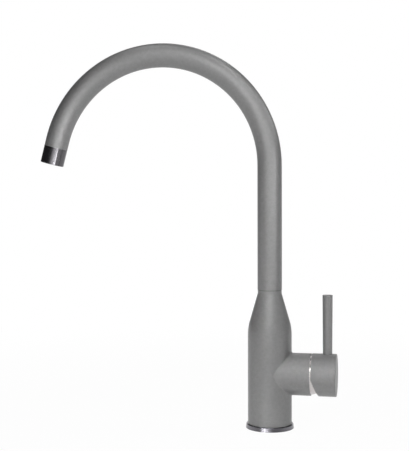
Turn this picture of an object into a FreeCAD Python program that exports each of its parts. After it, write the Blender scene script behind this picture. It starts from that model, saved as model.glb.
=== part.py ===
import FreeCAD, Part
import math
import os

# Mixer tap with a high swivel spout and a side lever.
# All sizes are in millimetres and all angles in degrees.
# The deck is Z = 0 and the body's axis is Z. The valve's axis runs along +X to the lever,
# and the spout reaches towards -X. Every piece is made at rest: water shut, lever upright.

Vector = FreeCAD.Vector
X_AXIS = Vector(1, 0, 0)
Y_AXIS = Vector(0, 1, 0)
Z_AXIS = Vector(0, 0, 1)

# Clearances
turning_gap = 0.06      # round a piece that turns in its bore
moving_gap = 0.3        # between faces that pass each other without touching
fitting_gap = 0.05      # round a piece that is seated in another

# Valve cartridge, from the seat in the body outwards
cartridge_diameter = 34.6
base_plate_thickness = 4.5
fixed_disc_diameter = 29.2
fixed_disc_thickness = 4.0
moving_disc_diameter = 20.0
moving_disc_thickness = 3.5
carrier_diameter = 17.0
carrier_flat_width = 15.0
carrier_thickness = 7.0
housing_wall = 2.4
housing_shoulder_width = 1.8
housing_shoulder_depth = 5.5    # how far the housing's narrow top stands above its shoulder
housing_lip_thickness = 1.5
collar_diameter = 25.0
collar_neck_diameter = 21.8
collar_flange_height = 5.6
collar_length = 11.7
collar_finger_length = 5.9
pivot_rise = 7.7                # the stem's pivot above the collar's inner end
pivot_pin_diameter = 3.0
pivot_pin_margin = 0.6          # the pin's ends lie this far inside the collar's neck

# Ports through the seat, the base plate and the fixed disc
inlet_port_diameter = 5.5
inlet_port_side = 6.0           # from the valve's axis, sideways
inlet_port_rise = 4.5           # from the valve's axis, upwards
outlet_port_diameter = 6.0
outlet_port_drop = 5.0          # from the valve's axis, downwards
port_seal_section = 1.6
port_seal_squeeze = 0.2
mixing_pocket_diameter = 12.8
mixing_pocket_depth = 1.8
mixing_lobe_diameter = 6.0
mixing_lobe_rise = 4.0

# Stem of the cartridge
stem_width = 8.0
stem_ball_diameter = 6.4
stem_shank_diameter = 4.6
stem_eye_diameter = 8.4
stem_inner_length = 11.0        # from the pivot to the ball's centre
stem_grip = 9.7                 # length of the stem held in the hub
lever_tilt = 20.0               # travel from shut to fully open

# Boss on the side of the body, and what closes it
boss_height = 57.0
boss_reach = 43.5
boss_wall = 3.05
boss_blend_radius = 1.6
nut_wall = 1.6
nut_step = 1.1
nut_proud = 3.5
valve_seat_depth = 28.5
shroud_inset = 1.3
shroud_reach = 6.5
shroud_front_thickness = 2.8
shroud_hole_margin = 1.7

# Hub and lever
hub_gap = 1.2
hub_length = 25.2
hub_step = 0.15
hub_edge_radius = 0.6
wedge_start = 2.0               # the wedge cut begins this far below the valve's axis
wedge_margin = 0.4              # how much steeper the cut is than the lever's travel
lever_setback = 9.4             # from the hub's end face to the lever's axis
lever_foot_diameter = 9.7
lever_tip_diameter = 10.5
lever_tip_height = 140.4
lever_tip_radius = 0.5
lever_seat_depth = 1.2
lever_thread_diameter = 6.0
lever_thread_length = 7.0
set_screw_diameter = 5.0
set_screw_length = 10.0
set_screw_socket = 2.5
set_screw_offset = 5.0          # from the floor of the hub's cavity to the screw's axis
plug_length = 3.2
plug_recess = 0.2

# Body
body_step = 1.05                # the body's radius beyond the boss's
body_wall = 3.2
hose_space_height = 31.0
shoulder_radius = 50.0
cone_angle = 16.1
neck_top = 144.2
neck_ring_height = 3.0
neck_inset = 0.2
neck_wall = 3.1
chamber_wall = 5.0
chamber_floor_rise = 1.05       # the mixed-water chamber's floor above the boss
outlet_duct_diameter = 8.0
outlet_duct_margin = 1.0        # between the duct and the chamber's wall
inlet_spacing = 19.0
inlet_setback = 2.0
inlet_thread_diameter = 8.9     # bore of an M10 x 1 thread
inlet_thread_depth = 12.0
inlet_duct_diameter = 7.0
stud_offset = 9.5
stud_thread_diameter = 6.8      # bore of an M8 thread
stud_thread_depth = 12.0

# Base ring and its seal
ring_overhang = 2.25
ring_height = 4.6
ring_taper = 0.6                # how much its radius shrinks from foot to top
ring_edge_radius = 0.7
ring_step = 1.2
ring_fit = 0.1
spigot_wall = 1.4
spigot_height = 3.0
base_seal_width = 2.0
base_seal_height = 1.9

# Spout
tube_diameter = 25.6
tube_wall = 1.3
arc_radius = 119.6
arc_centre_height = 275.4
tip_lean = 14.6                 # the spout's tip from the vertical
tail_length = 7.85
washer_thickness = 0.7
washer_inset = 0.7

# Nipple that carries the spout in the neck, with its rings, measured down from the neck's top
nipple_depth = 42.0
nipple_socket_length = 15.0
nipple_wall = 3.2
slip_ring_depths = (6.0, 36.0)
slip_ring_height = 4.0
slip_ring_thickness = 1.2
slip_ring_slit = 1.2
retaining_depth = 16.0
retaining_groove_width = 3.6
retaining_groove_depth = 1.8
retaining_screw_diameter = 5.0
retaining_tip_diameter = 2.8
retaining_screw_recess = 1.0
seal_ring_depths = (24.0, 29.0)
seal_ring_section = 1.8
seal_groove_width = 2.2

# Aerator, from the outlet up into the tube
aerator_length = 18.8
aerator_edge = 0.4
aerator_spigot_length = 4.6
bush_wall = 1.2
bush_length = 8.6
bush_shoulder = 1.4
bush_opening_diameter = 14.8
aerator_wall = 0.9
outlet_lip_thickness = 1.2
outlet_lip_width = 0.7
insert_wall = 1.0
insert_flange_thickness = 1.0
grid_thickness = 3.0
grid_pitch = 2.3
grid_web = 0.45
restrictor_height = 14.0
restrictor_thickness = 2.0
restrictor_ledge = 0.8
restrictor_hole_diameter = 1.6
restrictor_hole_count = 8
restrictor_circle_diameter = 9.0
screen_thickness = 0.4
screen_pitch = 1.9
screen_hole_diameter = 1.1

# Radii that follow from the sizes above
cartridge_radius = cartridge_diameter / 2
nut_radius = cartridge_radius + nut_wall
boss_radius = nut_radius + boss_wall
body_radius = boss_radius + body_step
hub_radius = boss_radius + hub_step
dome_radius = boss_radius - shroud_inset
cavity_radius = dome_radius + moving_gap
ring_radius = body_radius + ring_overhang
hose_space_radius = body_radius - body_wall
spigot_radius = hose_space_radius + spigot_wall
ring_bore_radius = spigot_radius + ring_fit
tube_radius = tube_diameter / 2
tube_bore_radius = tube_radius - tube_wall
neck_radius = tube_radius - neck_inset
neck_bore_radius = neck_radius - neck_wall
nipple_radius = neck_bore_radius - moving_gap
housing_bore_radius = collar_diameter / 2 + turning_gap

# Places along the valve's axis
seat_x = boss_reach - valve_seat_depth
fixed_disc_x = seat_x + base_plate_thickness
moving_disc_x = fixed_disc_x + fixed_disc_thickness
carrier_x = moving_disc_x + moving_disc_thickness
collar_x = carrier_x + carrier_thickness + moving_gap
pivot_x = collar_x + pivot_rise
lip_x = collar_x + collar_flange_height + moving_gap
housing_end_x = lip_x + housing_lip_thickness
housing_shoulder_x = housing_end_x - housing_shoulder_depth
nut_end_x = boss_reach + nut_proud
shroud_front_x = boss_reach + shroud_reach
hub_x = boss_reach + hub_gap
hub_end_x = hub_x + hub_length
lever_x = hub_end_x - lever_setback

# Depth of the hub's cavity: it clears the shroud's front edge at full tilt
front_rise = shroud_front_x - pivot_x
front_radius = math.sqrt(dome_radius ** 2 - front_rise ** 2)
tilt = math.radians(lever_tilt)
cavity_x = pivot_x + front_rise * math.cos(tilt) + front_radius * math.sin(tilt) + moving_gap
stem_end_x = cavity_x + stem_grip
set_screw_x = cavity_x + set_screw_offset

# The moving disc's travel, centred on the valve's axis
disc_travel = stem_inner_length * tilt
disc_rest_drop = disc_travel / 2

# Places up the body's axis
neck_bottom = neck_top - neck_ring_height
cone_slope = math.tan(math.radians(cone_angle))
shoulder_top = neck_bottom - (body_radius - neck_radius) / cone_slope
chamber_floor = boss_height + boss_radius + chamber_floor_rise
nipple_bottom = neck_top - nipple_depth
guide_bottom = nipple_bottom - 2 * moving_gap
tube_foot = neck_top + washer_thickness
chamber_radius = body_radius - chamber_wall
outlet_duct_x = outlet_duct_margin + outlet_duct_diameter / 2 - chamber_radius


def z_cylinder(radius, bottom, top, x=0.0, y=0.0):
    """Cylinder along Z between two heights."""
    return Part.makeCylinder(radius, top - bottom, Vector(x, y, bottom), Z_AXIS)


def x_cylinder(radius, start, end, side=0.0, rise=0.0):
    """Cylinder parallel to the valve's axis, offset from it sideways and upwards."""
    return Part.makeCylinder(radius, end - start, Vector(start, side, boss_height + rise), X_AXIS)


def z_ring(outer, inner, bottom, top, x=0.0, y=0.0):
    """Round tube along Z."""
    return z_cylinder(outer, bottom, top, x, y).cut(z_cylinder(inner, bottom, top, x, y))


def x_ring(outer, inner, start, end, side=0.0, rise=0.0):
    """Round tube parallel to the valve's axis."""
    return x_cylinder(outer, start, end, side, rise).cut(x_cylinder(inner, start, end, side, rise))


def block(x_range, y_range, z_range):
    """Rectangular block between two limits on each axis."""
    corner = Vector(x_range[0], y_range[0], z_range[0])
    sizes = (x_range[1] - x_range[0], y_range[1] - y_range[0], z_range[1] - z_range[0])
    return Part.makeBox(sizes[0], sizes[1], sizes[2], corner)


def turned_about_z(points):
    """Solid of revolution about Z from (radius, height) points."""
    corners = [Vector(radius, 0, height) for radius, height in points]
    wire = Part.makePolygon(corners + [corners[0]])
    return Part.Face(wire).revolve(Vector(0, 0, 0), Z_AXIS, 360)


def port_places():
    """Radius, sideways offset and rise of the valve's two inlets and its outlet."""
    inlet = inlet_port_diameter / 2
    outlet = outlet_port_diameter / 2
    return (
        (inlet, inlet_port_side, inlet_port_rise),
        (inlet, -inlet_port_side, inlet_port_rise),
        (outlet, 0.0, -outlet_port_drop),
    )


def ports(start, end):
    """The three water ports as one cutting shape."""
    return Part.makeCompound([x_cylinder(r, start, end, y, z) for r, y, z in port_places()])


def port_rings(start, depth):
    """Square-section seal grooves round the ports, and the seals that lie in them."""
    grooves = []
    seals = []
    for radius, side, rise in port_places():
        inner = radius + port_seal_squeeze
        outer = inner + port_seal_section - port_seal_squeeze
        grooves.append(x_ring(outer + fitting_gap, radius, start, start + depth, side, rise))
        seals.append(x_ring(outer, inner, start, start + depth, side, rise))
    return Part.makeCompound(grooves), Part.makeCompound(seals)


def body_outline():
    """Turned outside of the body: cylinder, rounded shoulder, cone and neck ring."""
    half_turn = math.radians(cone_angle) / 2
    reach = shoulder_radius * math.tan(half_turn)
    vertex = Vector(body_radius, 0, shoulder_top)
    down = Vector(0, 0, -1)
    up = Vector(-math.sin(2 * half_turn), 0, math.cos(2 * half_turn))
    start = vertex + down * reach
    end = vertex + up * reach
    towards_centre = Vector(-math.cos(half_turn), 0, -math.sin(half_turn))
    drop = shoulder_radius / math.cos(half_turn) - shoulder_radius
    middle = vertex + towards_centre * drop
    foot = Vector(body_radius, 0, ring_height)
    neck_foot = Vector(neck_radius, 0, neck_bottom)
    neck_edge = Vector(neck_radius, 0, neck_top)
    edges = [
        Part.LineSegment(Vector(0, 0, ring_height), foot).toShape(),
        Part.LineSegment(foot, start).toShape(),
        Part.Arc(start, middle, end).toShape(),
        Part.LineSegment(end, neck_foot).toShape(),
        Part.LineSegment(neck_foot, neck_edge).toShape(),
        Part.LineSegment(neck_edge, Vector(0, 0, neck_top)).toShape(),
        Part.LineSegment(Vector(0, 0, neck_top), Vector(0, 0, ring_height)).toShape(),
    ]
    return Part.Face(Part.Wire(edges)).revolve(Vector(0, 0, 0), Z_AXIS, 360)


def distance_from_valve_axis(point):
    """Distance of a point from the valve's axis."""
    return math.hypot(point.y, point.z - boss_height)


def blended_shell():
    """Body with its boss, and the crease between them rounded."""
    shell = body_outline().fuse(x_cylinder(boss_radius, 0, boss_reach))
    crease = []
    for edge in shell.Edges:
        middle = edge.valueAt((edge.FirstParameter + edge.LastParameter) / 2)
        on_body = abs(math.hypot(middle.x, middle.y) - body_radius) < fitting_gap
        on_boss = abs(distance_from_valve_axis(middle) - boss_radius) < fitting_gap
        if on_body and on_boss:
            crease.append(edge)
    return shell.makeFillet(boss_blend_radius, crease)


def waterways():
    """Inlet threads and ducts, the ports behind the seat and the duct to the neck."""
    inlet_top = boss_height + inlet_port_rise
    cuts = []
    for y in (inlet_spacing / 2, -inlet_spacing / 2):
        thread = z_cylinder(inlet_thread_diameter / 2, hose_space_height,
                            hose_space_height + inlet_thread_depth, -inlet_setback, y)
        duct = z_cylinder(inlet_duct_diameter / 2, hose_space_height, inlet_top, -inlet_setback, y)
        cuts += [thread, duct]
    for radius, side, rise in port_places():
        end = outlet_duct_x if side == 0 else -inlet_setback
        cuts.append(x_cylinder(radius, end, seat_x, side, rise))
    duct_bottom = boss_height - outlet_port_drop - outlet_port_diameter / 2
    cuts.append(z_cylinder(outlet_duct_diameter / 2, duct_bottom, chamber_floor,
                           outlet_duct_x))
    return cuts


def make_body():
    """Bottle-shaped casting with the valve boss, its waterways and the neck's guide bore."""
    shell = blended_shell().fuse(z_cylinder(spigot_radius, ring_height - spigot_height, ring_height))
    guide_step = guide_bottom - (chamber_radius - neck_bore_radius)
    chamber = turned_about_z((
        (0, chamber_floor),
        (chamber_radius, chamber_floor),
        (chamber_radius, guide_step),
        (neck_bore_radius, guide_bottom),
        (neck_bore_radius, neck_top),
        (0, neck_top),
    ))
    cuts = [
        z_cylinder(hose_space_radius, 0, hose_space_height),
        z_cylinder(stud_thread_diameter / 2, hose_space_height,
                   hose_space_height + stud_thread_depth, stud_offset),
        x_cylinder(cartridge_radius + fitting_gap, seat_x, boss_reach),
        x_cylinder(nut_radius + fitting_gap, housing_shoulder_x - moving_gap, boss_reach),
        chamber,
        retaining_hole(),
    ]
    for cut in cuts + waterways():
        shell = shell.cut(cut)
    return shell.removeSplitter()


def cone_surface_radius(height):
    """Outer radius of the body's cone at a height."""
    return neck_radius + (neck_bottom - height) * cone_slope


def retaining_hole():
    """Threaded hole at the back of the neck for the retaining screw."""
    height = neck_top - retaining_depth
    radius = retaining_screw_diameter / 2 + fitting_gap
    length = cone_surface_radius(height - radius)
    return Part.makeCylinder(radius, length, Vector(0, 0, height), Y_AXIS)


def make_retaining_screw():
    """Dog-point screw whose tip runs in the nipple's groove."""
    height = neck_top - retaining_depth
    tip = nipple_radius - retaining_groove_depth + moving_gap
    shoulder = neck_bore_radius + moving_gap
    end = cone_surface_radius(height) - retaining_screw_recess
    point = Part.makeCylinder(retaining_tip_diameter / 2, shoulder - tip,
                              Vector(0, tip, height), Y_AXIS)
    thread = Part.makeCylinder(retaining_screw_diameter / 2, end - shoulder,
                               Vector(0, shoulder, height), Y_AXIS)
    socket = hexagon_along_y(set_screw_socket, end - set_screw_socket, end, 0, height)
    return point.fuse(thread).cut(socket)


def hexagon_along_y(across_flats, start, end, x, z):
    """Hexagonal prism along Y."""
    corner_radius = across_flats / math.sqrt(3)
    corners = []
    for index in range(6):
        angle = math.radians(60 * index)
        corners.append(Vector(x + corner_radius * math.cos(angle), start,
                              z + corner_radius * math.sin(angle)))
    return Part.Face(Part.makePolygon(corners + [corners[0]])).extrude(Vector(0, end - start, 0))


def make_base_ring():
    """Polished, slightly tapered flange, bored for the body's spigot, grooved for the seal."""
    ring = Part.makeCone(ring_radius, ring_radius - ring_taper, ring_height)
    top_edge = [edge for edge in ring.Edges
                if edge.BoundBox.ZMin > ring_height - fitting_gap]
    ring = ring.makeFillet(ring_edge_radius, top_edge)
    ring = ring.cut(z_cylinder(ring_bore_radius, 0, ring_height))
    groove_inner = ring_bore_radius + ring_step
    groove = z_ring(groove_inner + base_seal_width + fitting_gap, groove_inner - fitting_gap,
                    0, base_seal_height + fitting_gap)
    return ring.cut(groove)


def make_base_seal():
    """Flat rubber seal in the ring's groove, pressed level with the ring's underside."""
    inner = ring_bore_radius + ring_step
    return z_ring(inner + base_seal_width, inner, 0, base_seal_height)


def make_slip_washer():
    """Thin washer that the spout turns on."""
    return z_ring(neck_radius - washer_inset, neck_bore_radius, neck_top, tube_foot)


def make_cartridge_base():
    """Plate with three ports, grooved on both sides for its seals."""
    plate = x_cylinder(cartridge_radius, seat_x, fixed_disc_x)
    plate = plate.cut(ports(seat_x, fixed_disc_x))
    plate = plate.cut(port_rings(seat_x, port_seal_section)[0])
    return plate.cut(port_rings(fixed_disc_x - port_seal_section, port_seal_section)[0])


def make_seat_seals():
    """Seals between the valve seat and the base plate."""
    return port_rings(seat_x, port_seal_section)[1]


def make_disc_seals():
    """Seals between the base plate and the fixed disc."""
    return port_rings(fixed_disc_x - port_seal_section, port_seal_section)[1]


def make_fixed_disc():
    """Ceramic disc with the three ports."""
    disc = x_cylinder(fixed_disc_diameter / 2, fixed_disc_x, moving_disc_x)
    return disc.cut(ports(fixed_disc_x, moving_disc_x))


def make_moving_disc():
    """Ceramic disc with the blind pocket that joins the ports when it slides up."""
    disc = x_cylinder(moving_disc_diameter / 2, moving_disc_x, carrier_x, 0, -disc_rest_drop)
    end = moving_disc_x + mixing_pocket_depth
    pocket = x_cylinder(mixing_pocket_diameter / 2, moving_disc_x, end,
                        0, -2 * disc_rest_drop)
    lobe = x_cylinder(mixing_lobe_diameter / 2, moving_disc_x, end,
                      0, mixing_lobe_rise - disc_rest_drop)
    return disc.cut(pocket.fuse(lobe))


def make_disc_carrier():
    """Flat-sided slider on the moving disc, with the socket for the stem's ball."""
    carrier = x_cylinder(carrier_diameter / 2, carrier_x, collar_x - moving_gap,
                         0, -disc_rest_drop)
    half = carrier_flat_width / 2
    limits = (boss_height - carrier_diameter, boss_height + carrier_diameter)
    carrier = carrier.common(block((carrier_x, collar_x), (-half, half), limits))
    ball = stem_ball_diameter / 2
    socket_floor = pivot_x - stem_inner_length - ball - moving_gap
    socket = x_cylinder(ball + moving_gap, socket_floor, collar_x)
    return carrier.cut(socket)


def make_cartridge_housing():
    """Shell round the discs and the collar, with the shoulder that the nut presses on."""
    narrow = cartridge_radius - housing_shoulder_width
    shell = x_cylinder(cartridge_radius, fixed_disc_x, housing_shoulder_x)
    shell = shell.fuse(x_cylinder(narrow, housing_shoulder_x, housing_end_x))
    chamber_end = collar_x - collar_finger_length
    shell = shell.cut(x_cylinder(cartridge_radius - housing_wall, fixed_disc_x, chamber_end))
    shell = shell.cut(x_cylinder(housing_bore_radius, chamber_end, lip_x))
    return shell.cut(x_cylinder(collar_neck_diameter / 2 + turning_gap, lip_x, housing_end_x))


def make_turning_collar():
    """Collar that turns with the lever, with the stem's slot and two guide fingers."""
    flange_end = collar_x + collar_flange_height
    flange = x_cylinder(collar_diameter / 2, collar_x, flange_end)
    neck = x_cylinder(collar_neck_diameter / 2, flange_end, collar_x + collar_length)
    finger_start = collar_x - collar_finger_length + moving_gap
    fingers = x_cylinder(collar_diameter / 2, finger_start, collar_x)
    gap = carrier_flat_width / 2 + moving_gap
    limits = (boss_height - collar_diameter, boss_height + collar_diameter)
    fingers = fingers.cut(block((finger_start, collar_x), (-gap, gap), limits))
    collar = flange.fuse(neck).fuse(fingers)
    width = stem_width / 2 + moving_gap
    swing = (collar_length - pivot_rise) * math.tan(tilt) + stem_width / 2 / math.cos(tilt)
    reach = swing + 2 * moving_gap
    slot = block((collar_x, collar_x + collar_length), (-width, width),
                 (boss_height - reach, boss_height + reach))
    collar = collar.cut(slot)
    return collar.cut(pivot_cylinder(pivot_pin_diameter / 2 + fitting_gap, collar_diameter))


def pivot_cylinder(radius, length):
    """Cylinder of a given length centred on the stem's pivot axis."""
    start = Vector(pivot_x, -length / 2, boss_height)
    return Part.makeCylinder(radius, length, start, Y_AXIS)


def make_pivot_pin():
    """Pin that the stem tilts on."""
    return pivot_cylinder(pivot_pin_diameter / 2, collar_neck_diameter - 2 * pivot_pin_margin)


def make_stem():
    """Square stem with an eye for the pivot pin and a ball that drives the disc carrier."""
    half = stem_width / 2
    ball_x = pivot_x - stem_inner_length
    ball = Part.makeSphere(stem_ball_diameter / 2, Vector(ball_x, 0, boss_height))
    shank = x_cylinder(stem_shank_diameter / 2, ball_x, pivot_x)
    eye = pivot_cylinder(stem_eye_diameter / 2, stem_width)
    bar = block((pivot_x, stem_end_x), (-half, half), (boss_height - half, boss_height + half))
    stem = bar.fuse(eye).fuse(shank).fuse(ball)
    return stem.cut(pivot_cylinder(pivot_pin_diameter / 2 + turning_gap, stem_width))


def make_cartridge_nut():
    """Threaded ring that holds the cartridge down and carries the shroud."""
    bore = cartridge_radius - housing_shoulder_width + fitting_gap
    nut = x_ring(nut_radius, bore, housing_shoulder_x, boss_reach - fitting_gap)
    return nut.fuse(x_ring(nut_radius - nut_step, bore, housing_shoulder_x, nut_end_x))


def make_dome_shroud():
    """Polished ring, ball-shaped about the lever's pivot, that covers the nut."""
    ball = Part.makeSphere(dome_radius, Vector(pivot_x, 0, boss_height))
    shroud = ball.common(x_cylinder(dome_radius, boss_reach, shroud_front_x))
    inner_end = max(nut_end_x + moving_gap, shroud_front_x - shroud_front_thickness)
    shroud = shroud.cut(x_cylinder(nut_radius - nut_step + fitting_gap, boss_reach, inner_end))
    hole = collar_neck_diameter / 2 + shroud_hole_margin
    return shroud.cut(x_cylinder(hole, inner_end, shroud_front_x))


def wedge():
    """Cut that lets the hub's lower edge swing towards the boss."""
    top = boss_height - wedge_start
    drop = hub_radius + wedge_start
    slant = drop * math.tan(math.radians(lever_tilt + wedge_margin))
    corners = [
        Vector(hub_x, -2 * hub_radius, top),
        Vector(hub_x + slant, -2 * hub_radius, top - drop),
        Vector(boss_reach, -2 * hub_radius, top - drop),
        Vector(boss_reach, -2 * hub_radius, top),
    ]
    face = Part.Face(Part.makePolygon(corners + [corners[0]]))
    return face.extrude(Vector(0, 4 * hub_radius, 0))


def make_hub():
    """Cap on the stem, hollow round the shroud, with the lever's seat and the set screw's hole."""
    hub = x_cylinder(hub_radius, hub_x, hub_end_x)
    end_edge = [edge for edge in hub.Edges
                if edge.BoundBox.XMin > hub_end_x - fitting_gap]
    hub = hub.makeFillet(hub_edge_radius, end_edge)
    cavity = Part.makeSphere(cavity_radius, Vector(pivot_x, 0, boss_height))
    cavity = cavity.common(x_cylinder(cavity_radius, pivot_x, cavity_x))
    hub = hub.cut(cavity).cut(wedge())
    half = stem_width / 2 + fitting_gap
    socket = block((cavity_x, stem_end_x + fitting_gap), (-half, half),
                   (boss_height - half, boss_height + half))
    hub = hub.cut(socket)
    seat = boss_height + hub_radius - lever_seat_depth
    hub = hub.cut(z_cylinder(lever_foot_diameter / 2 + fitting_gap, seat,
                             boss_height + hub_radius, lever_x))
    hub = hub.cut(z_cylinder(lever_thread_diameter / 2 + fitting_gap,
                             seat - lever_thread_length - fitting_gap, seat, lever_x))
    return hub.cut(z_cylinder(set_screw_diameter / 2 + fitting_gap,
                              boss_height - hub_radius, boss_height, set_screw_x))


def make_lever_pin():
    """Tapered round lever with its threaded end."""
    seat = boss_height + hub_radius - lever_seat_depth
    rod = Part.makeCone(lever_foot_diameter / 2, lever_tip_diameter / 2, lever_tip_height - seat,
                        Vector(lever_x, 0, seat), Z_AXIS)
    tip_edge = [edge for edge in rod.Edges
                if edge.BoundBox.ZMin > lever_tip_height - fitting_gap]
    rod = rod.makeFillet(lever_tip_radius, tip_edge)
    thread = z_cylinder(lever_thread_diameter / 2, seat - lever_thread_length, seat, lever_x)
    return rod.fuse(thread)


def make_set_screw():
    """Headless screw that clamps the hub on the stem, with a hexagon socket below."""
    top = boss_height - stem_width / 2 - fitting_gap
    screw = z_cylinder(set_screw_diameter / 2, top - set_screw_length, top, set_screw_x)
    corner_radius = set_screw_socket / math.sqrt(3)
    corners = []
    for index in range(6):
        angle = math.radians(60 * index)
        corners.append(Vector(set_screw_x + corner_radius * math.cos(angle),
                              corner_radius * math.sin(angle), top - set_screw_length))
    socket = Part.Face(Part.makePolygon(corners + [corners[0]]))
    return screw.cut(socket.extrude(Vector(0, 0, set_screw_socket)))


def make_hub_plug():
    """Bare plug in the mouth of the set screw's hole."""
    bottom = boss_height - hub_radius + plug_recess
    return z_cylinder(set_screw_diameter / 2, bottom, bottom + plug_length, set_screw_x)


def gooseneck(radius, overrun=0.0):
    """Solid along the spout's centreline: straight rise, arc and straight tail."""
    centre = Vector(-arc_radius, 0, arc_centre_height)
    arc_angle = 180 - tip_lean
    disc = Part.Face(Part.Wire(Part.makeCircle(radius, Vector(0, 0, arc_centre_height), Z_AXIS)))
    bend = disc.revolve(centre, Vector(0, -1, 0), arc_angle)
    rise = z_cylinder(radius, tube_foot - overrun, arc_centre_height)
    placement = tip_placement(aerator_length + tail_length)
    tail = Part.makeCylinder(radius, tail_length + overrun, Vector(0, 0, 0), Vector(0, 0, -1))
    tail.Placement = placement
    return rise.fuse(bend).fuse(tail)


def tip_placement(distance):
    """Frame on the tip's axis, a distance up from the outlet, with its Z up the tube."""
    lean = math.radians(tip_lean)
    inward = Vector(math.sin(lean), 0, math.cos(lean))
    arc_end = Vector(-arc_radius - arc_radius * math.cos(lean), 0,
                     arc_centre_height + arc_radius * math.sin(lean))
    place = arc_end + inward * (distance - tail_length - aerator_length)
    return FreeCAD.Placement(place, FreeCAD.Rotation(Y_AXIS, tip_lean))


def at_outlet(shape):
    """Move a piece made on the Z axis, outlet at zero, to the spout's tip."""
    shape.Placement = tip_placement(0).multiply(shape.Placement)
    return shape


def make_spout_tube():
    """Bent tube of the spout."""
    overrun = tube_wall
    return gooseneck(tube_radius).cut(gooseneck(tube_bore_radius, overrun)).removeSplitter()


def make_spout_nipple():
    """Turned piece fixed in the tube's foot that turns in the neck's bore."""
    nipple = z_cylinder(nipple_radius, nipple_bottom, tube_foot)
    socket = z_cylinder(tube_bore_radius - fitting_gap, tube_foot, tube_foot + nipple_socket_length)
    nipple = nipple.fuse(socket)
    nipple = nipple.cut(z_cylinder(nipple_radius - nipple_wall, nipple_bottom,
                                   tube_foot + nipple_socket_length))
    for depth in slip_ring_depths:
        nipple = nipple.cut(groove_cut(slip_ring_inner_radius() - fitting_gap, depth,
                                       slip_ring_height + 2 * fitting_gap))
    for depth in seal_ring_depths:
        nipple = nipple.cut(groove_cut(seal_ring_radius() - seal_ring_section / 2 - fitting_gap,
                                       depth, seal_groove_width))
    return nipple.cut(groove_cut(nipple_radius - retaining_groove_depth, retaining_depth,
                                 retaining_groove_width))


def groove_cut(bottom_radius, depth, width):
    """Ring that cuts a groove in the nipple, centred a depth below the neck's top."""
    middle = neck_top - depth
    return z_ring(neck_bore_radius, bottom_radius, middle - width / 2, middle + width / 2)


def slip_ring_inner_radius():
    """Inner radius of a slip ring."""
    return neck_bore_radius - turning_gap - slip_ring_thickness


def seal_ring_radius():
    """Radius of a sealing ring's centre circle."""
    return neck_bore_radius - turning_gap - seal_ring_section / 2


def make_slip_rings():
    """Two split plastic rings that centre the spout in the neck."""
    rings = []
    for depth in slip_ring_depths:
        middle = neck_top - depth
        limits = (middle - slip_ring_height / 2, middle + slip_ring_height / 2)
        ring = z_ring(neck_bore_radius - turning_gap, slip_ring_inner_radius(), *limits)
        slit = block((0, neck_bore_radius), (-slip_ring_slit / 2, slip_ring_slit / 2), limits)
        rings.append(ring.cut(slit))
    return Part.makeCompound(rings)


def make_spout_seals():
    """Two round-section sealing rings on the nipple."""
    rings = []
    for depth in seal_ring_depths:
        centre = Vector(0, 0, neck_top - depth)
        rings.append(Part.makeTorus(seal_ring_radius(), seal_ring_section / 2, centre, Z_AXIS))
    return Part.makeCompound(rings)


def spigot_outer_radius():
    """Outer radius of the aerator's threaded spigot."""
    return tube_bore_radius - fitting_gap - bush_wall - fitting_gap


def insert_outer_radius():
    """Outer radius of the insert in the aerator's bore."""
    return spigot_outer_radius() - aerator_wall - fitting_gap


def make_outlet_bush():
    """Threaded bush fixed in the tube's tip, with a shoulder for the washer."""
    top = aerator_length + bush_length
    bush = z_ring(tube_bore_radius - fitting_gap, bush_opening_diameter / 2, aerator_length, top)
    bore = z_cylinder(spigot_outer_radius() + fitting_gap, aerator_length, top - bush_shoulder)
    return at_outlet(bush.cut(bore))


def make_aerator_housing():
    """Polished sleeve that continues the tube, with a spigot above and a lip at the outlet."""
    sleeve = z_cylinder(tube_radius, 0, aerator_length)
    outlet_edge = [edge for edge in sleeve.Edges if edge.BoundBox.ZMax < fitting_gap]
    sleeve = sleeve.makeChamfer(aerator_edge, outlet_edge)
    spigot_top = aerator_length + aerator_spigot_length
    sleeve = sleeve.fuse(z_cylinder(spigot_outer_radius(), aerator_length, spigot_top))
    bore = insert_outer_radius() + fitting_gap
    sleeve = sleeve.cut(z_cylinder(bore, outlet_lip_thickness, spigot_top))
    return at_outlet(sleeve.cut(z_cylinder(bore - outlet_lip_width, 0, outlet_lip_thickness)))


def hexagon_points(pitch, limit):
    """Centres of a triangular pattern of holes inside a circle."""
    count = int(limit / pitch) + 1
    points = []
    for row in range(-2 * count, 2 * count + 1):
        for column in range(-2 * count, 2 * count + 1):
            x = pitch * (column + row / 2)
            y = pitch * row * math.sqrt(3) / 2
            if math.hypot(x, y) <= limit:
                points.append((x, y))
    return points


def make_aerator_insert():
    """Plastic insert with the honeycomb outlet, a ledge for the restrictor and a flange."""
    outer = insert_outer_radius()
    inner = outer - insert_wall
    bottom = outlet_lip_thickness
    spigot_top = aerator_length + aerator_spigot_length
    insert = z_cylinder(outer, bottom, spigot_top)
    insert = insert.fuse(z_cylinder(spigot_outer_radius(), spigot_top,
                                    spigot_top + insert_flange_thickness))
    insert = insert.cut(z_cylinder(inner, restrictor_height, spigot_top + insert_flange_thickness))
    insert = insert.cut(z_cylinder(inner - restrictor_ledge, bottom + grid_thickness,
                                   restrictor_height))
    corner_radius = (grid_pitch - grid_web) / math.sqrt(3)
    limit = inner - restrictor_ledge - corner_radius
    cells = []
    for x, y in hexagon_points(grid_pitch, limit):
        corners = []
        for index in range(6):
            angle = math.radians(60 * index + 30)
            corners.append(Vector(x + corner_radius * math.cos(angle),
                                  y + corner_radius * math.sin(angle), bottom))
        cell = Part.Face(Part.makePolygon(corners + [corners[0]]))
        cells.append(cell.extrude(Vector(0, 0, grid_thickness)))
    return at_outlet(insert.cut(Part.makeCompound(cells)))


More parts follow.
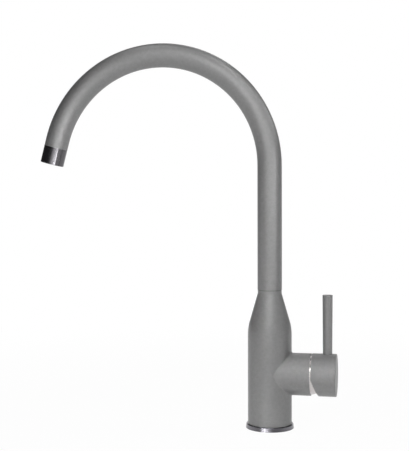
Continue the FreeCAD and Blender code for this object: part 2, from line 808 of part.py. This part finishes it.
def make_flow_restrictor():
    """Disc with a circle of small holes, seated on the insert's ledge."""
    radius = insert_outer_radius() - insert_wall - fitting_gap
    top = restrictor_height + restrictor_thickness
    disc = z_cylinder(radius, restrictor_height, top)
    circle = restrictor_circle_diameter / 2
    for index in range(restrictor_hole_count):
        angle = 2 * math.pi * index / restrictor_hole_count
        hole = z_cylinder(restrictor_hole_diameter / 2, restrictor_height, top,
                          circle * math.cos(angle), circle * math.sin(angle))
        disc = disc.cut(hole)
    return at_outlet(disc)


def make_aerator_screen():
    """Perforated steel disc on the insert's flange."""
    bottom = aerator_length + aerator_spigot_length + insert_flange_thickness
    top = bottom + screen_thickness
    disc = z_cylinder(spigot_outer_radius() - fitting_gap, bottom, top)
    limit = bush_opening_diameter / 2 - screen_hole_diameter
    holes = [z_cylinder(screen_hole_diameter / 2, bottom, top, x, y)
             for x, y in hexagon_points(screen_pitch, limit)]
    return at_outlet(disc.cut(Part.makeCompound(holes)))


def make_aerator_washer():
    """Rubber washer between the screen and the bush's shoulder."""
    bottom = aerator_length + aerator_spigot_length + insert_flange_thickness + screen_thickness
    top = aerator_length + bush_length - bush_shoulder
    return at_outlet(z_ring(spigot_outer_radius(), bush_opening_diameter / 2, bottom, top))


PIECES = {
    "body": make_body,
    "base_ring": make_base_ring,
    "base_seal": make_base_seal,
    "slip_washer": make_slip_washer,
    "retaining_screw": make_retaining_screw,
    "cartridge_base": make_cartridge_base,
    "seat_seals": make_seat_seals,
    "disc_seals": make_disc_seals,
    "fixed_disc": make_fixed_disc,
    "cartridge_housing": make_cartridge_housing,
    "cartridge_nut": make_cartridge_nut,
    "dome_shroud": make_dome_shroud,
    "turning_collar": make_turning_collar,
    "pivot_pin": make_pivot_pin,
    "moving_disc": make_moving_disc,
    "disc_carrier": make_disc_carrier,
    "stem": make_stem,
    "hub": make_hub,
    "lever_pin": make_lever_pin,
    "set_screw": make_set_screw,
    "hub_plug": make_hub_plug,
    "spout_tube": make_spout_tube,
    "spout_nipple": make_spout_nipple,
    "spout_seals": make_spout_seals,
    "slip_rings": make_slip_rings,
    "outlet_bush": make_outlet_bush,
    "aerator_housing": make_aerator_housing,
    "aerator_insert": make_aerator_insert,
    "flow_restrictor": make_flow_restrictor,
    "aerator_screen": make_aerator_screen,
    "aerator_washer": make_aerator_washer,
}

os.makedirs("parts", exist_ok=True)
for name, make in PIECES.items():
    shape = make()
    solids = shape.Solids
    valid = all(solid.isValid() for solid in solids)
    shape.exportStep("parts/" + name + ".step")
    print(name, "solids", len(solids), "valid", valid, "volume", round(shape.Volume, 1))
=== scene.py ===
"""Looks of a side-lever mixer tap with a high swivel spout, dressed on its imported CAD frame."""

import logging
import math
from dataclasses import dataclass, field
from enum import Enum
from typing import Any, Union

import bmesh
import bpy
from mathutils import Matrix, Vector

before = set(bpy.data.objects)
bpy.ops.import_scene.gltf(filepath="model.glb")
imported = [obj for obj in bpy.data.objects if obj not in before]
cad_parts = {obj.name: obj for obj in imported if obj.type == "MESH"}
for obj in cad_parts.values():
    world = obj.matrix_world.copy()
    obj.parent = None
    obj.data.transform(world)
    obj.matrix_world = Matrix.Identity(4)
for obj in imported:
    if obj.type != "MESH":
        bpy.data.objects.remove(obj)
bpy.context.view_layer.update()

log = logging.getLogger("mixer_tap")

MM = 0.001
Colour = tuple[float, float, float]
Point = tuple[float, float, float]

# The sockets of a Mix node that is set to colours. Its other sockets have the same names.
MIX_FACTOR, MIX_FIRST, MIX_SECOND, MIX_RESULT = 0, 6, 7, 2

# The middle of a noise from 0 to 1. With it taken off, the noise varies about 0.
HALF = 0.5


class Axis(Enum):
    """Which way a turned piece's centre line runs."""

    X = "X"
    Z = "Z"


class Signal:
    """A number that varies over a surface. Python's operators on it add Math nodes."""

    def __init__(self, graph: "Graph", socket: bpy.types.NodeSocket) -> None:
        """Wraps an output socket of a node in the graph."""
        self.graph = graph
        self.socket = socket

    def _with(self, operation: str, *values: "Number") -> "Signal":
        """Adds one Math node on these values, in their order."""
        inputs = dict(enumerate(values))
        return self.graph.signal("ShaderNodeMath", {"operation": operation}, inputs)

    def __add__(self, other: "Number") -> "Signal":
        """This signal plus another."""
        return self._with("ADD", self, other)

    __radd__ = __add__

    def __sub__(self, other: "Number") -> "Signal":
        """This signal less another."""
        return self._with("SUBTRACT", self, other)

    def __rsub__(self, other: "Number") -> "Signal":
        """Another value less this signal."""
        return self._with("SUBTRACT", other, self)

    def __mul__(self, other: "Number") -> "Signal":
        """This signal times another."""
        return self._with("MULTIPLY", self, other)

    __rmul__ = __mul__

    def sine(self) -> "Signal":
        """The sine of this signal, in radians."""
        return self._with("SINE", self)

    def larger(self, other: "Number") -> "Signal":
        """The larger of this signal and another."""
        return self._with("MAXIMUM", self, other)

    def step(self, start: float, end: float) -> "Signal":
        """A soft step of this signal.

        Args:
            start: The value at which the step leaves 0.
            end: The value at which it reaches 1.

        Returns:
            A signal from 0 to 1.
        """
        settings = {"interpolation_type": "SMOOTHSTEP"}
        inputs = {"Value": self, "From Min": start, "From Max": end}
        return self.graph.signal("ShaderNodeMapRange", settings, inputs, "Result")


class Shade:
    """A colour or a vector that varies over a surface."""

    def __init__(self, graph: "Graph", socket: bpy.types.NodeSocket) -> None:
        """Wraps an output socket of a node in the graph."""
        self.graph = graph
        self.socket = socket

    def __mul__(self, other: "Number") -> "Shade":
        """The colour or vector scaled by a number."""
        inputs = {0: self, "Scale": other}
        return self.graph.shade("ShaderNodeVectorMath", {"operation": "SCALE"}, inputs, "Vector")

    __rmul__ = __mul__

    def mix(self, other: Union["Shade", Colour], factor: "Number") -> "Shade":
        """Mixes another colour in.

        Args:
            other: The colour at a factor of 1.
            factor: How much of it, from 0 to 1.

        Returns:
            The mixed colour.
        """
        inputs = {MIX_FACTOR: factor, MIX_FIRST: self, MIX_SECOND: other}
        return self.graph.shade("ShaderNodeMix", {"data_type": "RGBA"}, inputs, MIX_RESULT)


Number = Union[Signal, float]


class Graph:
    """The node tree of one material."""

    def __init__(self, name: str) -> None:
        """Starts an empty material of that name."""
        self.material = bpy.data.materials.new(name)
        self.material.use_nodes = True
        self.tree = self.material.node_tree
        self.tree.nodes.clear()

    def node(self, kind: str, settings: dict[str, Any], inputs: dict[Any, Any]) -> bpy.types.Node:
        """Adds any node.

        Args:
            kind: The node's type.
            settings: Its properties, set first.
            inputs: Values or links of its sockets, by name or index.

        Returns:
            The new node.
        """
        made = self.tree.nodes.new(kind)
        for key, value in settings.items():
            setattr(made, key, value)
        for key, value in inputs.items():
            socket = made.inputs[key]
            if isinstance(value, (Signal, Shade)):
                self.tree.links.new(value.socket, socket)
            elif isinstance(value, bpy.types.NodeSocket):
                self.tree.links.new(value, socket)
            elif socket.type == "RGBA" and len(value) == 3:
                socket.default_value = (*value, 1.0)
            else:
                socket.default_value = value
        return made

    def signal(
        self, kind: str, settings: dict[str, Any], inputs: dict[Any, Any], out: Any = 0
    ) -> Signal:
        """Adds a node and returns the number at one of its outputs."""
        return Signal(self, self.node(kind, settings, inputs).outputs[out])

    def shade(
        self, kind: str, settings: dict[str, Any], inputs: dict[Any, Any], out: Any = 0
    ) -> Shade:
        """Adds a node and returns the colour or vector at one of its outputs."""
        return Shade(self, self.node(kind, settings, inputs).outputs[out])

    def place(self) -> Shade:
        """The point on the surface, in metres, fixed to the piece."""
        return self.shade("ShaderNodeTexCoord", {}, {}, "Object")

    def noise(self, scale: float, detail: float = 2.0) -> Signal:
        """Cloudy noise from 0 to 1.

        Args:
            scale: Features per metre.
            detail: How many finer layers it has.

        Returns:
            The noise.
        """
        inputs = {"Vector": self.place(), "Scale": scale, "Detail": detail}
        return self.signal("ShaderNodeTexNoise", {}, inputs, "Fac")

    def cells(self, scale: float) -> Signal:
        """A random number from 0 to 1 in each of many small cells.

        Args:
            scale: Cells per metre.

        Returns:
            The cell's number.
        """
        made = self.node("ShaderNodeTexVoronoi", {}, {"Vector": self.place(), "Scale": scale})
        split = self.node("ShaderNodeSeparateColor", {}, {0: made.outputs["Color"]})
        return Signal(self, split.outputs[0])

    def bump(self, height: Signal, depth: float) -> Shade:
        """A normal bent by a height.

        Args:
            height: The relief, from 0 to 1.
            depth: How deep 1 is, in metres.

        Returns:
            The normal.
        """
        inputs = {"Height": height, "Distance": depth, "Strength": 1.0}
        return self.shade("ShaderNodeBump", {}, inputs, "Normal")

    def surface(self, inputs: dict[Any, Any]) -> bpy.types.Material:
        """Ends the material in one Principled shader.

        Args:
            inputs: Values or links of the shader's sockets.

        Returns:
            The finished material.
        """
        shader = self.node("ShaderNodeBsdfPrincipled", {}, inputs)
        self.node("ShaderNodeOutputMaterial", {}, {"Surface": shader.outputs["BSDF"]})
        return self.material


def tinted(graph: Graph, colour: Colour, level: Number) -> Shade:
    """A colour whose brightness varies.

    Args:
        graph: The material's nodes.
        colour: The colour at a level of 1.
        level: Its brightness over the surface.

    Returns:
        The varying colour.
    """
    same = {MIX_FACTOR: 0.0, MIX_FIRST: colour, MIX_SECOND: colour}
    flat = graph.shade("ShaderNodeMix", {"data_type": "RGBA"}, same, MIX_RESULT)
    return flat * level


@dataclass(frozen=True)
class SatinPaint:
    """Fine-grained satin paint: a dull coat with tiny flecks and a faint leathery skin."""

    name: str
    colour: Colour
    roughness: float
    metallic: float
    grain_per_m: float = 1400.0
    mottle_per_m: float = 300.0
    fleck_per_m: float = 2600.0
    drift_per_m: float = 16.0
    coarse_skin_per_m: float = 1400.0 / 3.0
    grain_tint: float = 0.10
    mottle_tint: float = 0.22
    drift_tint: float = 0.05
    pale_cells_from: float = 0.90
    pale_tint: float = 0.10
    dark_cells_from: float = 0.92
    dark_tint: float = 0.12
    grain_dullness: float = 0.08
    drift_dullness: float = 0.06
    fine_skin_share: float = 0.7
    coarse_skin_share: float = 0.3
    grain_depth: float = 0.00003

    def material(self) -> bpy.types.Material:
        """Makes the paint's material.

        Returns:
            The material, which the nodes of this finish share.
        """
        graph = Graph(self.name)
        grain = graph.noise(self.grain_per_m, detail=3.0)
        mottle = graph.noise(self.mottle_per_m, detail=2.0)
        drift = graph.noise(self.drift_per_m, detail=2.0)
        fleck = graph.cells(self.fleck_per_m)
        pale = fleck.step(self.pale_cells_from, 1.0) * self.pale_tint
        dark = (1.0 - fleck).step(self.dark_cells_from, 1.0) * self.dark_tint
        cloud = (mottle - HALF) * self.mottle_tint + (drift - HALF) * self.drift_tint
        level = 1.0 + cloud + (grain - HALF) * self.grain_tint + pale - dark
        grain_dull = (grain - HALF) * self.grain_dullness
        drift_dull = (drift - HALF) * self.drift_dullness
        coarse_skin = graph.noise(self.coarse_skin_per_m)
        skin = grain * self.fine_skin_share + coarse_skin * self.coarse_skin_share
        return graph.surface(
            {
                "Base Color": tinted(graph, self.colour, level),
                "Metallic": self.metallic,
                "Roughness": self.roughness + grain_dull + drift_dull,
                "Normal": graph.bump(skin, self.grain_depth),
            }
        )


@dataclass(frozen=True)
class PolishedPlate:
    """Polished plating with a faint waviness and a few wiped smears."""

    name: str
    colour: Colour
    roughness: float
    wave_per_m: float = 90.0
    smear_per_m: float = 45.0
    speck_per_m: float = 2200.0
    smear_from: float = 0.45
    smear_full: float = 0.75
    smear_tint: float = 0.05
    smear_dullness: float = 0.05
    speck_tint: float = 0.04
    speck_dullness: float = 0.02
    wave_depth: float = 0.00002

    def material(self) -> bpy.types.Material:
        """Makes the plating's material.

        Returns:
            The material, which the nodes of this finish share.
        """
        graph = Graph(self.name)
        wave = graph.noise(self.wave_per_m, detail=1.0)
        smear = graph.noise(self.smear_per_m, detail=4.0).step(self.smear_from, self.smear_full)
        speck = graph.noise(self.speck_per_m, detail=2.0) - HALF
        level = 1.0 - smear * self.smear_tint + speck * self.speck_tint
        dull = smear * self.smear_dullness + speck * self.speck_dullness
        return graph.surface(
            {
                "Base Color": tinted(graph, self.colour, level),
                "Metallic": 1.0,
                "Roughness": self.roughness + dull,
                "Normal": graph.bump(wave, self.wave_depth),
            }
        )


@dataclass(frozen=True)
class TurnedMetal:
    """Bare metal from the lathe, with fine tool marks across its axis and dull patches."""

    name: str
    colour: Colour
    axis: Axis
    roughness: float = 0.3
    marks_per_m: float = 2600.0
    uneven_per_m: float = 400.0
    uneven_turn: float = 3.0
    dull_per_m: float = 130.0
    dull_from: float = 0.4
    dull_full: float = 0.7
    groove_level: float = 0.94
    mark_tint: float = 0.08
    dull_tint: float = 0.16
    mark_dullness: float = 0.05
    dull_dullness: float = 0.14
    mark_depth: float = 0.00002

    def material(self) -> bpy.types.Material:
        """Makes the metal's material.

        Returns:
            The material, which the nodes of this finish share.
        """
        graph = Graph(self.name)
        split = graph.node("ShaderNodeSeparateXYZ", {}, {0: graph.place()})
        along = Signal(graph, split.outputs[self.axis.value])
        uneven = graph.noise(self.uneven_per_m, detail=2.0) * self.uneven_turn
        wave = (along * (self.marks_per_m * math.tau) + uneven).sine()
        marks = wave * HALF + HALF
        dull = graph.noise(self.dull_per_m, detail=4.0).step(self.dull_from, self.dull_full)
        level = self.groove_level + marks * self.mark_tint - dull * self.dull_tint
        rough = self.roughness + dull * self.dull_dullness + marks * self.mark_dullness
        return graph.surface(
            {
                "Base Color": tinted(graph, self.colour, level),
                "Metallic": 1.0,
                "Roughness": rough,
                "Normal": graph.bump(marks, self.mark_depth),
            }
        )


@dataclass(frozen=True)
class LappedCeramic:
    """Dense ceramic, lapped to a low gloss, with fine grey pores."""

    name: str
    colour: Colour
    roughness: float = 0.22
    pore_per_m: float = 3200.0
    cloud_per_m: float = 120.0
    pore_cells_from: float = 0.93
    pore_tint: float = 0.18
    cloud_tint: float = 0.05
    pore_dullness: float = 0.3
    cloud_dullness: float = 0.08
    pore_depth: float = 0.00001

    def material(self) -> bpy.types.Material:
        """Makes the ceramic's material.

        Returns:
            The material, which the nodes of this finish share.
        """
        graph = Graph(self.name)
        pore = (1.0 - graph.cells(self.pore_per_m)).step(self.pore_cells_from, 1.0)
        cloud = graph.noise(self.cloud_per_m, detail=3.0) - HALF
        level = 1.0 + cloud * self.cloud_tint - pore * self.pore_tint
        dull = pore * self.pore_dullness + cloud * self.cloud_dullness
        return graph.surface(
            {
                "Base Color": tinted(graph, self.colour, level),
                "Roughness": self.roughness + dull,
                "Normal": graph.bump(1.0 - pore, self.pore_depth),
            }
        )


@dataclass(frozen=True)
class MouldedPlastic:
    """Moulded plastic with a spark-eroded skin and faint flow clouds."""

    name: str
    colour: Colour
    roughness: float = 0.42
    skin_per_m: float = 1700.0
    flow_per_m: float = 60.0
    flow_tint: float = 0.08
    skin_tint: float = 0.05
    flow_dullness: float = 0.06
    skin_dullness: float = 0.12
    skin_depth: float = 0.00002

    def material(self) -> bpy.types.Material:
        """Makes the plastic's material.

        Returns:
            The material, which the nodes of this finish share.
        """
        graph = Graph(self.name)
        relief = graph.noise(self.skin_per_m, detail=3.0)
        skin = relief - HALF
        flow = graph.noise(self.flow_per_m, detail=3.0) - HALF
        level = 1.0 + flow * self.flow_tint + skin * self.skin_tint
        dull = skin * self.skin_dullness + flow * self.flow_dullness
        return graph.surface(
            {
                "Base Color": tinted(graph, self.colour, level),
                "Roughness": self.roughness + dull,
                "Normal": graph.bump(relief, self.skin_depth),
            }
        )


@dataclass(frozen=True)
class SealRubber:
    """Black rubber with a matt skin, a dusty bloom and fine pits."""

    name: str
    colour: Colour
    bloom: Colour = (0.055, 0.055, 0.052)
    roughness: float = 0.62
    pit_per_m: float = 2400.0
    bloom_per_m: float = 150.0
    bloom_from: float = 0.45
    bloom_full: float = 0.8
    bloom_share: float = 0.5
    bloom_dullness: float = 0.12
    pit_level: float = 0.9
    pit_tint: float = 0.2
    pit_dullness: float = 0.1
    pit_depth: float = 0.00003

    def material(self) -> bpy.types.Material:
        """Makes the rubber's material.

        Returns:
            The material, which the nodes of this finish share.
        """
        graph = Graph(self.name)
        pit = graph.noise(self.pit_per_m, detail=3.0)
        dust = graph.noise(self.bloom_per_m, detail=4.0).step(self.bloom_from, self.bloom_full)
        base = tinted(graph, self.colour, self.pit_level + pit * self.pit_tint)
        dull = dust * self.bloom_dullness + (pit - HALF) * self.pit_dullness
        return graph.surface(
            {
                "Base Color": base.mix(self.bloom, dust * self.bloom_share),
                "Roughness": self.roughness + dull,
                "Normal": graph.bump(pit, self.pit_depth),
            }
        )


Finish = Union[SatinPaint, PolishedPlate, TurnedMetal, LappedCeramic, MouldedPlastic, SealRubber]

BRASS_COLOUR: Colour = (0.62, 0.44, 0.19)
STEEL_COLOUR: Colour = (0.52, 0.52, 0.53)
STILL_WAVE = 0.000004

CAST_PAINT = SatinPaint("satin_grey_casting", (0.255, 0.255, 0.255), 0.44, 0.45)
TUBE_PAINT = SatinPaint("satin_grey_tube", (0.262, 0.262, 0.262), 0.5, 0.8)
# Chrome plating given a much darker base colour than chrome has, so that the white floor it
# mirrors comes out dark: painted shade in its reflections.
SHADED_CHROME = PolishedPlate("chrome_painted_dark", (0.2, 0.195, 0.213), 0.2)
# The outlet sleeve's copy of that chrome is darker still, painted shade for the darker reflections
# along its side.
OUTLET_SHADED_CHROME = PolishedPlate(
    "outlet_chrome_painted_darker", (0.12, 0.117, 0.124), 0.18, wave_depth=STILL_WAVE
)
SHROUD_PLATE = PolishedPlate("shroud_plating", (0.55, 0.52, 0.515), 0.24, wave_depth=STILL_WAVE)
BRASS_X = TurnedMetal("turned_brass_across", BRASS_COLOUR, Axis.X)
BRASS_Z = TurnedMetal("turned_brass_upright", BRASS_COLOUR, Axis.Z)
STEEL_X = TurnedMetal("turned_steel_across", STEEL_COLOUR, Axis.X, 0.26)
STEEL_Z = TurnedMetal("turned_steel_upright", STEEL_COLOUR, Axis.Z, 0.26)
CERAMIC = LappedCeramic("lapped_ceramic", (0.80, 0.80, 0.77))
WHITE_MOULDING = MouldedPlastic("white_moulding", (0.70, 0.70, 0.67))
WASHER_MOULDING = MouldedPlastic("washer_moulding", (0.09, 0.09, 0.092), 0.5)
DARK_MOULDING = MouldedPlastic("dark_moulding", (0.028, 0.028, 0.030), 0.48)
RUBBER = SealRubber("seal_rubber_skin", (0.018, 0.018, 0.018))


@dataclass
class SubAssembly:
    """CAD nodes that belong together, each with its finish."""

    finishes: dict[str, Finish] = field(default_factory=dict)
    made: dict[str, bpy.types.Material] = field(default_factory=dict)

    def build(self) -> None:
        """Makes the materials. The meshes are all the frame's own, so none is added here."""
        for finish in self.finishes.values():
            if finish.name not in self.made:
                ready = bpy.data.materials.get(finish.name)
                self.made[finish.name] = ready or finish.material()

    def dress(self) -> None:
        """Gives every node of the sub-assembly its finish through its material slots."""
        for node, finish in self.finishes.items():
            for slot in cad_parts[node].material_slots:
                slot.material = self.made[finish.name]
            log.info("%s is dressed in %s", node, finish.name)


@dataclass
class Casting(SubAssembly):
    """The bottle-shaped body with its foot ring, neck washer and retaining screw."""

    finishes: dict[str, Finish] = field(
        default_factory=lambda: {
            "body": CAST_PAINT,
            "base_ring": SHADED_CHROME,
            "base_seal": RUBBER,
            "slip_washer": WASHER_MOULDING,
            "retaining_screw": STEEL_Z,
        }
    )


@dataclass
class Cartridge(SubAssembly):
    """The valve in the side boss: discs, carrier, housing, seals, nut and stem."""

    finishes: dict[str, Finish] = field(
        default_factory=lambda: {
            "cartridge_base": WHITE_MOULDING,
            "seat_seals": RUBBER,
            "disc_seals": RUBBER,
            "fixed_disc": CERAMIC,
            "moving_disc": CERAMIC,
            "disc_carrier": WHITE_MOULDING,
            "cartridge_housing": WHITE_MOULDING,
            "turning_collar": WHITE_MOULDING,
            "cartridge_nut": BRASS_X,
            "pivot_pin": STEEL_X,
            "stem": STEEL_X,
            "dome_shroud": SHROUD_PLATE,
        }
    )


@dataclass
class Handle(SubAssembly):
    """The hub on the stem, its upright pin, the clamping screw and the plug over it."""

    finishes: dict[str, Finish] = field(
        default_factory=lambda: {
            "hub": CAST_PAINT,
            "lever_pin": CAST_PAINT,
            "set_screw": STEEL_Z,
            "hub_plug": DARK_MOULDING,
        }
    )


@dataclass
class Spout(SubAssembly):
    """The gooseneck tube, the nipple it turns on and the aerator in its tip."""

    finishes: dict[str, Finish] = field(
        default_factory=lambda: {
            "spout_tube": TUBE_PAINT,
            "spout_nipple": BRASS_Z,
            "spout_seals": RUBBER,
            "slip_rings": WHITE_MOULDING,
            "outlet_bush": BRASS_Z,
            "aerator_housing": OUTLET_SHADED_CHROME,
            "aerator_insert": WHITE_MOULDING,
            "flow_restrictor": WHITE_MOULDING,
            "aerator_screen": STEEL_Z,
            "aerator_washer": RUBBER,
        }
    )


# Where the lamps point, in metres.
WHOLE_TAP: Point = (-0.09, 0.0, 0.2)
TUBE_MIDDLE: Point = (0.0, 0.0, 0.3)
TUBE_TOP: Point = (0.0, 0.0, 0.33)
ARCH_CROWN: Point = (-0.12, 0.0, 0.38)
ARCH_BEND: Point = (0.0, 0.0, 0.38)
NECK: Point = (0.015, 0.0, 0.08)
OUTLET: Point = (-0.24, 0.0, 0.275)
FOOT: Point = (0.0, 0.0, 0.006)

# A lamp's full spread, and those of lamps with a grid, in degrees.
OPEN, BROAD, NARROW, NARROWER = 180.0, 50.0, 25.0, 20.0
OUTLET_BEAM, FOOT_BEAM = 14.0, 12.0


@dataclass(frozen=True)
class Softbox:
    """A rectangular lamp that faces the tap, with or without a grid over it.

    The angles and the spread are in degrees, the azimuth counts from the front towards the lever's
    side, and the distance, width and height are in metres.
    """

    name: str
    azimuth: float
    elevation: float
    distance: float
    width: float
    height: float
    radiance: float
    aim: Point = WHOLE_TAP
    spread: float = OPEN
    soft_only: bool = False

    def light(self) -> bpy.types.Object:
        """Adds the lamp. Its power follows from its area and its radiance without the grid.

        A lamp that is there for the satin paint only is found by aiming at it, and not by a
        mirrored ray that happens to hit it. That leaves less grain on the thin lever.

        Returns:
            The lamp's object.
        """
        turn, rise = math.radians(self.azimuth), math.radians(self.elevation)
        level = math.cos(rise)
        out = Vector((math.sin(turn) * level, -math.cos(turn) * level, math.sin(rise)))
        data = bpy.data.lights.new(self.name, "AREA")
        data.shape = "RECTANGLE"
        data.size, data.size_y = self.width, self.height
        data.spread = math.radians(self.spread)
        data.energy = self.radiance * math.pi * self.width * self.height
        data.cycles.use_multiple_importance_sampling = not self.soft_only
        lamp = bpy.data.objects.new(self.name, data)
        lamp.location = Vector(self.aim) + out * self.distance
        lamp.rotation_mode = "QUATERNION"
        lamp.rotation_quaternion = out.to_track_quat("Z", "Y")
        lamp.visible_camera = False
        bpy.context.scene.collection.objects.link(lamp)
        return lamp


# Each lamp's name, azimuth, elevation, distance, width, height and radiance, then its aim and its
# spread where they aren't the usual ones, and True for a lamp for the satin paint only.
LAMPS = (
    Softbox("front", 15.0, 34.0, 1.5, 0.6, 0.36, 6.85),
    Softbox("front_left", -30.0, 50.0, 1.5, 0.6, 0.36, 2.2),
    Softbox("front_right", 35.0, 20.0, 1.5, 0.7, 0.5, 0.6),
    Softbox("overhead", 0.0, 75.0, 1.5, 0.7, 0.5, 1.04),
    Softbox("right_side", 105.0, 33.0, 1.5, 0.4, 0.4, 6.6),
    Softbox("right_top", 90.0, 72.0, 1.5, 0.4, 0.4, 3.6),
    Softbox("left_top", -90.0, 72.0, 1.5, 0.4, 0.4, 3.52),
    Softbox("back", 180.0, 45.0, 1.5, 0.6, 0.4, 2.09),
    Softbox("front_strip", 5.0, 0.0, 0.85, 0.3, 0.56, 1.4, TUBE_MIDDLE),
    Softbox("left_strip", -10.0, 0.0, 0.85, 0.3, 0.56, 0.66, TUBE_MIDDLE),
    Softbox("tube_grid", 52.0, 2.0, 0.9, 0.25, 0.36, 0.226, TUBE_TOP, NARROWER),
    Softbox("arch_grid", -10.0, 20.0, 0.9, 0.3, 0.3, 0.105, ARCH_CROWN, NARROW),
    Softbox("bend_grid", 60.0, 50.0, 0.8, 0.25, 0.25, 0.488, ARCH_BEND, BROAD, True),
    Softbox("neck_grid", -25.0, 27.0, 0.9, 0.3, 0.3, 0.223, NECK, NARROWER, True),
    Softbox("outlet_grid_left", 27.0, -14.0, 0.92, 0.24, 0.1, 0.16, OUTLET, OUTLET_BEAM),
    Softbox("outlet_grid_right", 40.0, -14.0, 0.92, 0.24, 0.1, 0.14, OUTLET, OUTLET_BEAM),
    Softbox("foot_grid_left", -28.0, 1.5, 0.6, 0.26, 0.03, 0.07, FOOT, FOOT_BEAM),
    Softbox("foot_grid", -16.0, 1.5, 0.6, 0.26, 0.03, 0.12, FOOT, FOOT_BEAM),
    Softbox("foot_grid_right", -4.0, 1.5, 0.6, 0.26, 0.03, 0.04, FOOT, FOOT_BEAM),
)


@dataclass(frozen=True)
class Viewpoint:
    """The camera, found by fitting the tap's outlines to the photograph.

    The place is in millimetres, the turns are in degrees and the focal length is in pixels of the
    picture, whose size follows it.
    """

    place_mm: Point = (135.37, -960.51, 229.70)
    yaw: float = 12.07
    pitch: float = -1.01
    roll: float = 0.13
    focal_px: float = 921.15
    width_px: int = 409
    height_px: int = 451
    sensor_mm: float = 36.0
    nearest: float = 0.05
    farthest: float = 50.0

    def build(self) -> None:
        """Places the camera where the picture was taken from."""
        turn = Matrix.Rotation(math.radians(self.yaw), 4, "Z")
        nod = Matrix.Rotation(math.radians(self.pitch), 4, "X")
        lean = Matrix.Rotation(math.radians(self.roll), 4, "Y")
        level = Matrix.Rotation(math.radians(90.0), 4, "X")
        place = Matrix.Translation(Vector(self.place_mm) * MM)
        data = bpy.data.cameras.new("camera")
        data.sensor_width = self.sensor_mm
        data.lens = self.focal_px / max(self.width_px, self.height_px) * self.sensor_mm
        data.clip_start, data.clip_end = self.nearest, self.farthest
        camera = bpy.data.objects.new("camera", data)
        camera.matrix_world = place @ turn @ nod @ lean @ level
        bpy.context.scene.collection.objects.link(camera)
        bpy.context.scene.camera = camera


@dataclass(frozen=True)
class Studio:
    """The pale floor, the backdrop on it, the lamps and the dim room, with sizes in metres."""

    floor_half: float = 30.0
    floor_drop: float = 0.0002
    backdrop_left: float = -2.8
    backdrop_right: float = 1.8
    backdrop_away: float = 4.0
    backdrop_top: float = 1.8
    pale: Colour = (0.86, 0.86, 0.86)
    fibre_per_m: float = 300.0
    fibre_level: float = 0.98
    fibre_tint: float = 0.04
    floor_roughness: float = 0.8
    room: Colour = (0.073, 0.073, 0.074)
    near_glow: float = 0.97
    glow_rises_from: float = 0.25
    glow_full_at: float = 0.9

    def paint_floor(self) -> bpy.types.Material:
        """Makes the floor's material: pale, and white where it is the picture's background.

        Returns:
            The material, which keeps the tap's soft shadow near its foot.
        """
        graph = Graph("pale_floor")
        path = graph.node("ShaderNodeLightPath", {}, {})
        camera_ray = Signal(graph, path.outputs["Is Camera Ray"])
        glossy_ray = Signal(graph, path.outputs["Is Glossy Ray"])
        clear_ray = Signal(graph, path.outputs["Is Transmission Ray"])
        background = camera_ray.larger(glossy_ray).larger(clear_ray)
        place = {0: graph.place()}
        away = graph.signal("ShaderNodeVectorMath", {"operation": "LENGTH"}, place, "Value")
        rise = away.step(self.glow_rises_from, self.glow_full_at)
        glow_share = rise * (1.0 - self.near_glow) + self.near_glow
        fibre = graph.noise(self.fibre_per_m, detail=3.0)
        colour = tinted(graph, self.pale, self.fibre_level + fibre * self.fibre_tint)
        inputs = {"Base Color": colour, "Roughness": self.floor_roughness}
        lit = graph.node("ShaderNodeBsdfPrincipled", {}, inputs)
        glow = graph.node("ShaderNodeEmission", {}, {"Color": (1.0, 1.0, 1.0), "Strength": 1.0})
        inputs = {0: background * glow_share, 1: lit.outputs["BSDF"], 2: glow.outputs["Emission"]}
        mixed = graph.node("ShaderNodeMixShader", {}, inputs)
        graph.node("ShaderNodeOutputMaterial", {}, {"Surface": mixed.outputs["Shader"]})
        return graph.material

    def lay_floor(self) -> None:
        """Lays the floor and stands the backdrop on it, behind the tap."""
        far, low = self.floor_half, -self.floor_drop
        left, right = self.backdrop_left, self.backdrop_right
        back, top = self.backdrop_away, self.backdrop_top
        mesh = bmesh.new()
        quads = [
            [(-far, -far, low), (far, -far, low), (far, far, low), (-far, far, low)],
            [(left, back, low), (right, back, low), (right, back, top), (left, back, top)],
        ]
        for corners in quads:
            mesh.faces.new([mesh.verts.new(corner) for corner in corners])
        data = bpy.data.meshes.new("studio_floor")
        mesh.to_mesh(data)
        mesh.free()
        floor = bpy.data.objects.new("studio_floor", data)
        data.materials.append(self.paint_floor())
        bpy.context.scene.collection.objects.link(floor)

    def dim_room(self) -> None:
        """Sets the world to the dim grey of the room above the floor."""
        world = bpy.data.worlds.new("room")
        world.use_nodes = True
        world.node_tree.nodes["Background"].inputs["Color"].default_value = (*self.room, 1.0)
        bpy.context.scene.world = world

    def build(self) -> None:
        """Sets up the floor, the room and the lamps."""
        self.lay_floor()
        self.dim_room()
        for lamp in LAMPS:
            lamp.light()
        bpy.context.scene.view_settings.view_transform = "Standard"
        log.info("studio has %d lamps", len(LAMPS))


def main() -> None:
    """Builds and dresses the tap, then the studio around it."""
    logging.basicConfig(level=logging.INFO, format="%(name)s: %(message)s")
    for part in (Casting(), Cartridge(), Handle(), Spout()):
        part.build()
        part.dress()
    Studio().build()
    Viewpoint().build()


if __name__ == "__main__":
    main()
